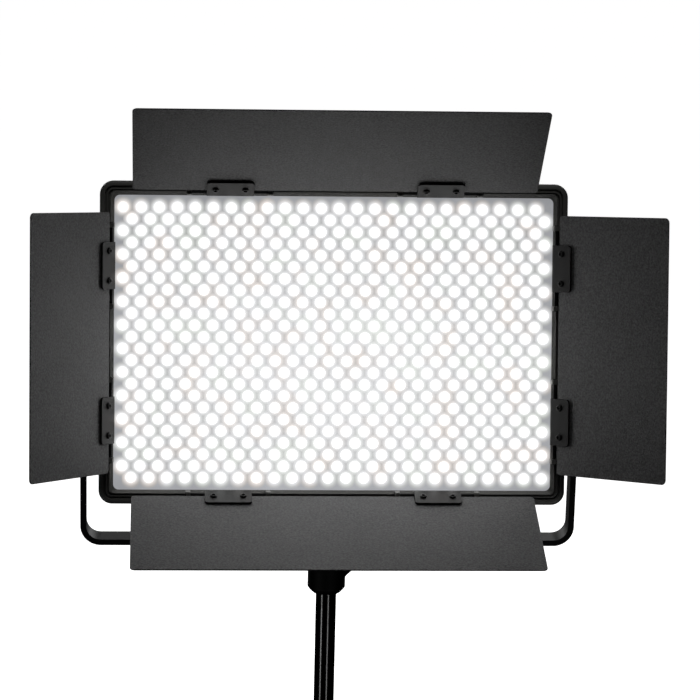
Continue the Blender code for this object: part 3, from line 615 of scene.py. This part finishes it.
for leaf, width in LEAF_WIDTHS.items():
    place = hinge_place(leaf)
    body = "leaf_" + leaf
    piece("barn_leaf_%s_look" % leaf, outline(leaf_outline(width), 0.0, SHEET), LEAF_PAINT,
          body, place, ("barn_leaf_" + leaf,), edge=0.3)
    for letter, side in (("a", -1), ("b", 1)):
        middle = side * PLATE_OFFSETS[leaf]
        node = "hinge_plate_%s_%s" % (leaf, letter)
        piece(node + "_look", hinge_plate(middle), BLACK_STEEL, body, place, (node,), edge=0.3)
        for end in (-1, 1):
            spin = Matrix.Rotation(rng.uniform(0, math.pi), 4, "Z")
            seat = Matrix.Translation((middle + end * SCREW_SPREAD, SCREW_REACH, KNUCKLE_R))
            piece("plate_screw_%s_%s_%d" % (leaf, letter, (end + 3) // 2),
                  turned_to(screw_head(SCREW_R, 1.5), seat @ spin), BLACK_STEEL, body, place)
            nut = turned_to(lathe(((0, -1.6), (2.2, -1.6), (2.6, -1.2), (2.6, 0.0)), 24),
                            Matrix.Translation((middle + end * SCREW_SPREAD, SCREW_REACH, 0)))
            piece("plate_rivet_%s_%s_%d" % (leaf, letter, (end + 3) // 2), nut, BLACK_STEEL,
                  body, place)
        node = "hinge_rod_%s_%s" % (leaf, letter)
        half = ROD_LENGTH / 2
        piece(node + "_look", rod(ROD_R, (middle - half, 0, 0), (middle + half, 0, 0)),
              BLACK_STEEL, "head", place, (node,), edge=0.3)


# ---- front bezel ------------------------------------------------------------------
def bezel_rings():
    """Closed section, from the outer skirt over the stepped face to the inside."""
    half_w, half_h = PANEL_W / 2, PANEL_H / 2
    steps = ((0.0, SKIRT_BACK_Y - FRONT_Y), (0.0, 2.2), (0.2, 1.5), (0.6, 1.0), (1.5, 0.5),
             (4.0, 0.3), (4.4, 0.9), (4.6, 2.6), (5.7, 2.6), (5.9, 0.4), (6.9, 0.2),
             (7.1, 2.2), (8.0, 2.2), (8.2, 0.3), (8.8, 0.0))
    rings = [rounded_ring(half_w - inset, half_h - inset,
                          max(PANEL_CORNER - inset, WINDOW_CORNER), FRONT_Y + back)
             for inset, back in steps]
    for y in (FRONT_Y + LIP_SLOPE, LIP_BACK_Y):
        rings.append(rounded_ring(WINDOW_W / 2, WINDOW_H / 2, WINDOW_CORNER, y))
    for y in (LIP_BACK_Y, SKIRT_BACK_Y):
        rings.append(rounded_ring(half_w - BEZEL_WALL, half_h - BEZEL_WALL,
                                  PANEL_CORNER - BEZEL_WALL, y))
    return rings


bezel = piece("front_bezel_look", loft(bezel_rings(), closed=True), BEZEL_PLASTIC, "head",
              HEAD, ("front_bezel",), edge=0.15)
to_head = HEAD.inverted()
for leaf, offset in PLATE_OFFSETS.items():
    hinge = to_head @ hinge_place(leaf)
    centre = hinge.translation / MM
    run = hinge.to_3x3() @ Vector((1, 0, 0))
    sideways = Vector((abs(run.z), 0, abs(run.x)))
    for letter, side in (("a", -1), ("b", 1)):
        middle = centre + run * side * offset
        if abs(centre.y + KNUCKLE_R) < abs(FRONT_Y) + 1.0:
            reach = (Vector([abs(c) for c in run]) * (PLATE_LENGTH / 2 + NOTCH_END_GAP)
                     + sideways * (KNUCKLE_R + NOTCH_SIDE_GAP))
            low, high = middle - reach, middle + reach
            low.y = centre.y
            high.y = centre.y + KNUCKLE_R + NOTCH_BACK_GAP
            cut(bezel, box(low, high), HEAD)
        for end in (-1, 1):
            lug = middle + run * end * LUG_SPREAD
            reach = (Vector([abs(c) for c in run]) * LUG_HALF_LENGTH
                     + sideways * LUG_HALF_WIDTH)
            low, high = lug - reach, lug + reach
            low.y = centre.y - LUG_HALF_WIDTH
            high.y = FRONT_Y + LUG_ROOT
            axis = 0 if abs(run.x) > 0.5 else 2
            part = box(low, high)
            tops = [e for e in part.edges
                    if all(v.co.y < centre.y for v in e.verts)
                    and abs((e.verts[0].co - e.verts[1].co).normalized()[axis]) > 0.9]
            bmesh.ops.bevel(part, geom=tops, offset=LUG_ROUND, segments=6, affect="EDGES",
                            profile=0.5)
            piece("hinge_lug_%s_%s_%d" % (leaf, letter, (end + 3) // 2), part, BEZEL_PLASTIC,
                  "head", HEAD, edge=0.2)


# ---- yoke ----------------------------------------------------------------------------
def yoke_outline(outer_x, inner_x, bottom, top, inner_r, thick, steps=20):
    outer_r = inner_r + thick
    bend_z = bottom + outer_r
    bend_x = outer_x - outer_r
    return ([(-outer_x, top)] + arc(-bend_x, bend_z, outer_r, 180, 270, steps)
            + arc(bend_x, bend_z, outer_r, 270, 360, steps) + [(outer_x, top)]
            + [(inner_x, top)] + arc(bend_x, bend_z, inner_r, 360, 270, steps)
            + arc(-bend_x, bend_z, inner_r, 270, 180, steps) + [(-inner_x, top)])


BAR_THICK = 5.0
BEND_INNER_R = 12.0
BOLT_R = 5.0
STUD_R = 4.0
PAST_SIDES = 220.0              # beyond both sides of the light
yoke_low, yoke_high = (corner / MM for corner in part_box("yoke_bracket"))
pivot_z = pivot.z / MM
depth = yoke_high.y
yoke_bm = outline(yoke_outline(yoke_high.x, yoke_high.x - BAR_THICK, yoke_low.z,
                               yoke_high.z, BEND_INNER_R, BAR_THICK), -depth, depth)
turned_to(yoke_bm, Matrix.Rotation(QUARTER, 4, "X"))
arm_top = [e for e in yoke_bm.edges
           if all(v.co.z > pivot_z for v in e.verts)
           and abs(e.verts[0].co.x - e.verts[1].co.x) > BAR_THICK / 2]
bmesh.ops.bevel(yoke_bm, geom=arm_top, offset=depth - 0.5, segments=16, affect="EDGES",
                profile=0.5)
yoke = piece("yoke_bracket_look", yoke_bm, YOKE_PAINT, "yoke", WORLD, ("yoke_bracket",),
             edge=0.8, steps=3)
cut(yoke, rod(STUD_R + 2 * GAP, (-PAST_SIDES, 0, pivot_z), (PAST_SIDES, 0, pivot_z)))
cut(yoke, rod(BOLT_R + GAP, (0, 0, yoke_low.z - 5), (0, 0, yoke_low.z + 15)))

# ---- stand socket --------------------------------------------------------------------
SOCKET_R = 15.8
SOCKET_BORE_R = 8.25
CLAMP_BOSS_R, CLAMP_BOSS_ROOT_X, CLAMP_BOSS_FACE_X = 9.0, 12.0, 24.5
GUSSET_HALF = 5.0
CLAMP_Z = joints["socket_clamp_turn"]["pos_m"][2] / MM
cap_low, cap_high = (corner.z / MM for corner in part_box("socket_cap"))
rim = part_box("stand_socket")[1].z / MM
socket = piece("stand_socket_look", lathe((
    (SOCKET_BORE_R, rim), (19.4, rim), (18.7, 34.0), (17.9, 30.5), (17.1, 27.5),
    (16.6, 25.0), (16.1, 22.0), (SOCKET_R, 19.0), (SOCKET_R, 4.2), (14.6, 2.5), (12.3, 0.0),
    (SOCKET_BORE_R + 0.6, 0.0), (SOCKET_BORE_R, 0.8)), 72, closed=True), YOKE_PAINT, "yoke",
    WORLD, ("stand_socket",), edge=0.3)
piece("socket_cap_look", lathe((
    (BOLT_R + GAP, cap_high), (19.5, cap_high), (19.5, cap_low), (BOLT_R + GAP, cap_low)),
    72, closed=True), YOKE_PAINT, "yoke", WORLD, ("socket_cap",), edge=0.5)
cut(socket, rod(CLAMP_BOSS_R, (CLAMP_BOSS_ROOT_X, 0, CLAMP_Z), (CLAMP_BOSS_FACE_X, 0, CLAMP_Z),
                40), operation="UNION")
gusset = outline(((13.0, 13.0), (15.4, 13.5), (16.6, 15.2), (23.8, CLAMP_Z - 7.5),
                  (23.8, CLAMP_Z), (13.0, CLAMP_Z)), -GUSSET_HALF, GUSSET_HALF)
cut(socket, turned_to(gusset, Matrix.Rotation(QUARTER, 4, "X")), operation="UNION")
cut(socket, rod(STUD_R + GAP, (6.0, 0, CLAMP_Z), (30.0, 0, CLAMP_Z)))
polish("socket_bolt", BLACK_STEEL, 0.4)


# ---- knobs ----------------------------------------------------------------------------
KNOB_LOBES = 7
clamp_seat = along((1, 0, 0), (0, 0, CLAMP_Z * MM))
piece("socket_clamp_knob_look", gripped((
    (27.0, 6.5, 0.0), (29.5, 7.0, 0.0), (30.6, 8.8, 0.6), (31.4, 9.5, 0.75),
    (32.0, 9.8, 0.8), (42.0, 9.8, 0.8), (43.0, 9.2, 0.6), (43.5, 8.4, 0.4)), KNOB_LOBES),
    KNOB_PLASTIC, "socket_knob", clamp_seat, ("socket_clamp_knob",), edge=0.3)
piece("socket_clamp_screw_look", rod(STUD_R, (0, 0, 8.6), (0, 0, 39.0)), BLACK_STEEL,
      "socket_knob", clamp_seat, ("socket_clamp_screw",), edge=0.5)
TILT_KNOB_R = 19.0
WASHER_R = 14.0
BOSS_R, BOSS_HUB_R = 17.0, 10.0
BOSS_HUB_X, BOSS_BORE_X = 178.0, 181.0      # inner end of the hub, and of its bore
boss_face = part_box("pivot_boss_right")[1].x / MM
arm_inner = yoke_high.x - BAR_THICK
wall_x = PANEL_W / 2 - HOUSING_INSET + GAP
for side, direction in (("left", -1), ("right", 1)):
    seat = along((direction, 0, 0), pivot)
    start = yoke_high.x + GAP
    piece("tilt_knob_%s_look" % side, gripped((
        (start, 10.0, 0.0), (start + 4.0, 10.5, 0.0), (start + 5.2, TILT_KNOB_R - 3.6, 1.0),
        (start + 6.2, TILT_KNOB_R - 2.0, 1.6), (start + 7.4, TILT_KNOB_R - 1.6, 1.6),
        (start + 14.6, TILT_KNOB_R - 1.6, 1.6), (start + 16.0, TILT_KNOB_R - 2.2, 1.5),
        (start + 17.0, TILT_KNOB_R - 4.0, 0.9)), KNOB_LOBES), KNOB_PLASTIC,
        "tilt_knob_" + side, seat, ("tilt_knob_" + side,), edge=0.4)
    polish("tilt_stud_" + side, BLACK_STEEL, 0.2)
    piece("pivot_boss_%s_look" % side, lathe((
        (0, BOSS_BORE_X), (STUD_R + GAP, BOSS_BORE_X), (STUD_R + GAP, boss_face),
        (BOSS_R - 1.0, boss_face), (BOSS_R, boss_face - 1.0), (BOSS_R, wall_x),
        (BOSS_HUB_R, wall_x), (BOSS_HUB_R, BOSS_HUB_X), (0, BOSS_HUB_X))), ALUMINIUM, "head", seat,
        ("pivot_boss_" + side,))
    piece("friction_washer_%s_look" % side, lathe((
        (STUD_R + 2 * GAP, arm_inner - GAP), (WASHER_R, arm_inner - GAP),
        (WASHER_R, boss_face + GAP), (STUD_R + 2 * GAP, boss_face + GAP)), closed=True),
        WASHER_FIBRE, "head", seat, ("friction_washer_" + side,))

# ---- rear housing ------------------------------------------------------------------------
PANEL_Z = -85.0                 # middle of the control panel
DC_X = -142.0
DC_BORE_R, DC_WALL = 8.0, 2.0
VENT_COUNT, VENT_PITCH, VENT_FIRST_X, VENT_Z = 11, 9.0, 66.0, 66.0
VENT_WIDTH, VENT_HEIGHT, VENT_CORNER, VENT_FRONT_Y = 3.2, 44.0, 1.55, 14.0
CUTOUT_W, CUTOUT_H, CUTOUT_FRONT_Y = 192.0, 40.0, 10.0
CUTTER_END_Y = 40.0             # behind everything on the back
CABLE_HOLE_R, CABLE_HOLE_Z = 5.0, 20.0
REAR_FACE_Y = HOUSING_REAR_Y + GAP
PANEL_FACE_Y = REAR_FACE_Y + 3.0
INLET_FACE_Y = REAR_FACE_Y + 2.0
BATTERY_FACE_Y = REAR_FACE_Y + 10.0


def housing_mesh():
    """An open cup with a rounded and chamfered back, a flat floor and a rim."""
    half_w, half_h = PANEL_W / 2 - HOUSING_INSET, PANEL_H / 2 - HOUSING_INSET
    corner = PANEL_CORNER - HOUSING_INSET
    outside = ((0.0, SKIRT_BACK_Y + GAP), (0.0, 12.6), (0.15, 13.5), (0.6, 14.3), (1.3, 15.1),
               (7.9, 22.2), (8.7, 22.9), (9.6, 23.5), (10.6, 23.9), (11.6, HOUSING_REAR_Y))
    inner_rear = HOUSING_REAR_Y - HOUSING_WALL
    inside = ((11.0, inner_rear), (9.5, inner_rear - 1.0), (3.0, 13.5),
              (HOUSING_WALL, 12.0), (HOUSING_WALL, SKIRT_BACK_Y + GAP))
    bm = bmesh.new()
    rows = [[bm.verts.new(p) for p in rounded_ring(half_w - i, half_h - i,
                                                   max(corner - i, 4.5), y)]
            for i, y in outside + inside]
    floor = len(outside)
    pairs = [(n, n + 1) for n in range(len(rows) - 1) if n + 1 != floor]
    for here, there in pairs + [(len(rows) - 1, 0)]:
        count = len(rows[0])
        for n in range(count):
            following = (n + 1) % count
            bm.faces.new((rows[here][n], rows[here][following],
                          rows[there][following], rows[there][n]))
    bm.faces.new(rows[floor - 1])
    bm.faces.new(rows[floor])
    bmesh.ops.recalc_face_normals(bm, faces=bm.faces)
    return bm


housing = piece("rear_housing_look", housing_mesh(), HOUSING_PLASTIC, "head", HEAD,
                ("rear_housing",), edge=0.2)
cut(housing, rod(BOSS_HUB_R + GAP, (-PAST_SIDES, 0, 0), (PAST_SIDES, 0, 0), 64), HEAD)
cut(housing, box((-CUTOUT_W / 2, CUTOUT_FRONT_Y, PANEL_Z - CUTOUT_H / 2),
                 (CUTOUT_W / 2, CUTTER_END_Y, PANEL_Z + CUTOUT_H / 2)), HEAD)
cut(housing, rod(DC_BORE_R + DC_WALL + GAP, (DC_X, 0, PANEL_Z), (DC_X, CUTTER_END_Y, PANEL_Z),
                 48), HEAD)
cut(housing, rod(CABLE_HOLE_R, (0, 0, CABLE_HOLE_Z), (0, CUTTER_END_Y, CABLE_HOLE_Z)), HEAD)
for side in (-1, 1):
    for n in range(VENT_COUNT):
        x = side * (VENT_FIRST_X + VENT_PITCH * n)
        cut(housing, box((x - VENT_WIDTH / 2, VENT_FRONT_Y, VENT_Z - VENT_HEIGHT / 2),
                         (x + VENT_WIDTH / 2, CUTTER_END_Y, VENT_Z + VENT_HEIGHT / 2),
                         VENT_CORNER), HEAD)


def rear_screws(name, face_y, radius, places):
    """Screw heads that stand on a face of the back."""
    for number, (x, z) in enumerate(places, 1):
        spin = Matrix.Rotation(rng.uniform(0, math.pi), 4, "Z")
        seat = along((0, 1, 0), (x, face_y, z)) @ spin
        piece("%s_%d" % (name, number), turned_to(screw_head(radius, radius * 0.5), seat),
              BLACK_STEEL, "head", HEAD)


rear_screws("housing_screw", HOUSING_REAR_Y, 3.0,
            ((-166, 106), (0, 110), (166, 106), (-166, 0), (166, 0), (166, -106)))
rear_screws("panel_screw", PANEL_FACE_Y, 1.8,
            [(x, PANEL_Z + z) for x in (-99.5, 99.5) for z in (-20.5, 20.5)])
rear_screws("inlet_screw", INLET_FACE_Y, 1.5,
            [(DC_X + x, PANEL_Z + z) for x in (-9.7, 9.7) for z in (-9.7, 9.7)])
rear_screws("battery_screw", BATTERY_FACE_Y, 2.2,
            ((-38, 84), (38, 84), (-38, 4), (38, 4)))


# ---- controls -----------------------------------------------------------------------------
def turned_seat(x):
    """A frame on the back at x, with +Z pointing out of the panel."""
    return HEAD @ along((0, 1, 0), (x * MM, 0, PANEL_Z * MM))


DIALS = {"color": -24.0, "brightness": -55.0}
DIAL_R, DIAL_HEIGHT, DIAL_RIBS, DIAL_POINTS = 12.0, 14.0, 24, 144
DIAL_SEAT_Y = PANEL_FACE_Y + 0.8
DIAL_TOP_Y = DIAL_SEAT_Y + DIAL_HEIGHT
SHAFT_HOLE_R, SHAFT_HOLE_DEPTH = 3.3, 9.3
BUTTON_XS = (32.0, 18.0, 4.0)
BUTTON_R, BUTTON_ROOT_Y = 4.0, 21.0
TICK_COUNT, TICK_STEP, TICK_FIRST = 11, 27, -135
TICK_R, TICK_END_R, TICK_HALF_WIDTH = 13.4, 15.0, 0.22
BAR_COUNT, BARS_X, BARS_Z, BARS_PITCH = 10, 52.0, PANEL_Z - 8.0, 3.7
BAR_W, BAR_H, BAR_STEP = 2.4, 2.0, 0.7


def dial_ticks():
    """Printed marks round a dial over its 270 degrees, longer at the ends and the middle."""
    marks = []
    for n in range(TICK_COUNT):
        end = TICK_END_R + (1.0 if n % 5 == 0 else 0.0)
        mark = box((-TICK_HALF_WIDTH, TICK_R, PANEL_FACE_Y - 0.05),
                   (TICK_HALF_WIDTH, end, PANEL_FACE_Y + 0.06))
        spin = math.radians(TICK_FIRST + TICK_STEP * n)
        marks.append(turned_to(mark, Matrix.Rotation(spin, 4, "Z")))
    return joined(*marks)


for name, x in DIALS.items():
    knob = name + "_knob"
    body = frame["nodes"][knob]["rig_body"]
    seat = turned_seat(x)
    dial = piece(knob + "_look", gripped((
        (DIAL_SEAT_Y, DIAL_R - 0.3, 0.0), (DIAL_SEAT_Y + 1.0, DIAL_R, 0.0),
        (DIAL_SEAT_Y + 2.0, DIAL_R, 0.0), (DIAL_SEAT_Y + 2.8, DIAL_R - 1.2, 0.3),
        (DIAL_TOP_Y - 1.2, DIAL_R - 1.6, 0.35), (DIAL_TOP_Y - 0.4, DIAL_R - 2.1, 0.2),
        (DIAL_TOP_Y, DIAL_R - 3.0, 0.0)), DIAL_RIBS, DIAL_POINTS), KNOB_PLASTIC, body, seat,
        (knob,), edge=0.1)
    cut(dial, rod(SHAFT_HOLE_R, (0, 0, DIAL_SEAT_Y - 2), (0, 0, DIAL_SEAT_Y + SHAFT_HOLE_DEPTH)),
        seat)
    pointer = box((-0.4, 2.5, DIAL_TOP_Y - 0.05), (0.4, DIAL_R - 3.4, DIAL_TOP_Y + 0.1))
    piece(name + "_pointer", pointer, MARKING, body, seat)
    piece(name + "_ticks", dial_ticks(), MARKING, "head", seat)

for number, x in enumerate(BUTTON_XS, 1):
    node = "panel_button_%d" % number
    profile = ((0, BUTTON_ROOT_Y), (BUTTON_R, BUTTON_ROOT_Y), (BUTTON_R, PANEL_FACE_Y + 1.4),
               (BUTTON_R - 0.15, PANEL_FACE_Y + 1.85), (BUTTON_R - 0.5, PANEL_FACE_Y + 2.1),
               (BUTTON_R - 1.0, PANEL_FACE_Y + 2.2), (BUTTON_R - 1.8, PANEL_FACE_Y + 2.05),
               (0, PANEL_FACE_Y + 1.9))
    piece(node + "_look", lathe(profile, 40), BUTTON_RUBBER, frame["nodes"][node]["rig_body"],
          turned_seat(x), (node,))

bars = []
for n in range(BAR_COUNT):
    start = BARS_X + BARS_PITCH * n
    bars.append(box((start, PANEL_FACE_Y - 0.12, BARS_Z),
                    (start + BAR_W, PANEL_FACE_Y - 0.03, BARS_Z + BAR_H + BAR_STEP * n)))
piece("display_bars", joined(*bars), MARKING, "head", HEAD)

# ---- the rest keep their own shapes, softened at the edges where a width is given ------------
for node, paint, edge in (
        ("led_board", BOARD_WHITE, 0.0), ("heat_spreader", ALUMINIUM, 0.0),
        ("driver_board", BOARD_GREEN, 0.0),
        ("control_panel", HOUSING_PLASTIC, 0.4), ("display_window", DISPLAY_GLASS, 0.0),
        ("switch_frame", HOUSING_PLASTIC, 0.25), ("dc_socket", BLACK_STEEL, 0.3),
        ("dc_insert", KNOB_PLASTIC, 0.0), ("battery_plate", HOUSING_PLASTIC, 0.5),
        ("battery_contacts", KNOB_PLASTIC, 0.0), ("brightness_shaft", BRIGHT_STEEL, 0.2),
        ("color_shaft", BRIGHT_STEEL, 0.2), ("power_rocker", KNOB_PLASTIC, 0.3),
        ("battery_release_button", BUTTON_RUBBER, 0.5)):
    polish(node, paint, edge)

# ---- stage ------------------------------------------------------------------------------
FLOOR_Z = -0.9


def stage_surface(name, color, glow):
    g = Graph(name)
    g.feed(g.ramp(g.noise(400.0), (0.3, gray(color)), (0.7, gray(color + 0.02))),
           g.shader.inputs["Base Color"])
    g.shader.inputs["Roughness"].default_value = 0.9
    g.shader.inputs["Emission Color"].default_value = (1, 1, 1, 1)
    g.shader.inputs["Emission Strength"].default_value = glow
    return g.material


bpy.ops.mesh.primitive_plane_add(size=60.0, location=(0, 0, FLOOR_Z))
floor = bpy.context.active_object
floor.name = "floor"
floor.data.materials.append(stage_surface("floor_paper", 0.85, 1.0))
floor.visible_diffuse = False
floor.visible_glossy = False

TUBE_R = 8.6
TUBE_GLOSS = grained("tube_gloss", gray(0.004), gray(0.007), (0.12, 0.18), 2.0, 0.004)
tube_bm = lathe(((0.0, FLOOR_Z / MM), (TUBE_R, FLOOR_Z / MM), (TUBE_R, -0.7), (TUBE_R - 0.4, -0.3),
                 (0.0, -0.3)), 96)
tube_mesh = mesh_of("stand_tube", to_metres(tube_bm))
linked("stand_tube", painted(tube_mesh, TUBE_GLOSS))

world = bpy.data.worlds.new("studio")
bpy.context.scene.world = world
world.use_nodes = True
background = world.node_tree.nodes["Background"]
background.inputs["Color"].default_value = (1, 1, 1, 1)
background.inputs["Strength"].default_value = 1.0
world.cycles_visibility.diffuse = False
world.cycles_visibility.glossy = False


def softbox(name, place, target, size, watts):
    lamp = bpy.data.lights.new(name, "AREA")
    lamp.shape = "RECTANGLE"
    lamp.size, lamp.size_y = size
    lamp.energy = watts
    made = linked(name, lamp)
    made.location = place
    made.rotation_euler = (Vector(target) - Vector(place)).to_track_quat("-Z", "Y").to_euler()
    return made


softbox("overhead", (0.1, -0.9, 2.7), pivot, (1.3, 1.0), 9.0)
softbox("behind_left", (-1.2, 2.4, 0.8), pivot, (1.4, 1.4), 35.0)
softbox("behind_right", (1.2, 2.4, 0.8), pivot, (1.4, 1.4), 35.0)
STRIP_DISTANCE, STRIP_Z = 1.2, -0.42
for name, bearing, watts in (("strip_left", -49.3, 1.6), ("strip_right", 24.7, 1.2)):
    turn = math.radians(bearing)
    place = (STRIP_DISTANCE * math.sin(turn), -STRIP_DISTANCE * math.cos(turn), STRIP_Z)
    strip = softbox(name, place, (0, 0, -0.05), (0.12, 0.5), watts)
    strip.visible_diffuse = False       # these only draw the highlights down the tube

# ---- camera -------------------------------------------------------------------------------
AZIMUTH, ELEVATION, ROLL = (math.radians(angle) for angle in (-3.335, 17.037, 1.321))
DISTANCE = 2.5982
LENS_MM = 164.57
SENSOR_MM = 36.0
AIM_OFFSET = (0.01317, -0.00490)        # from the middle of the lit face, in the view plane

target = HEAD @ Vector((0, FRONT_Y * MM, 0))
backwards = Vector((math.sin(AZIMUTH) * math.cos(ELEVATION),
                    -math.cos(AZIMUTH) * math.cos(ELEVATION), math.sin(ELEVATION)))
level = Vector((math.cos(AZIMUTH), math.sin(AZIMUTH), 0))
rise = backwards.cross(level)
right = level * math.cos(ROLL) + rise * math.sin(ROLL)
above = rise * math.cos(ROLL) - level * math.sin(ROLL)
position = target + backwards * DISTANCE
aim = target + right * AIM_OFFSET[0] + above * AIM_OFFSET[1]
back = (position - aim).normalized()
side = above.cross(back).normalized()
camera_data = bpy.data.cameras.new("camera")
camera_data.lens = LENS_MM
camera_data.sensor_width = SENSOR_MM
camera = linked("camera", camera_data)
camera.matrix_world = (Matrix.Translation(position)
                       @ Matrix((side, back.cross(side), back)).transposed().to_4x4())
bpy.context.scene.camera = camera
bpy.context.scene.view_settings.view_transform = "Standard"
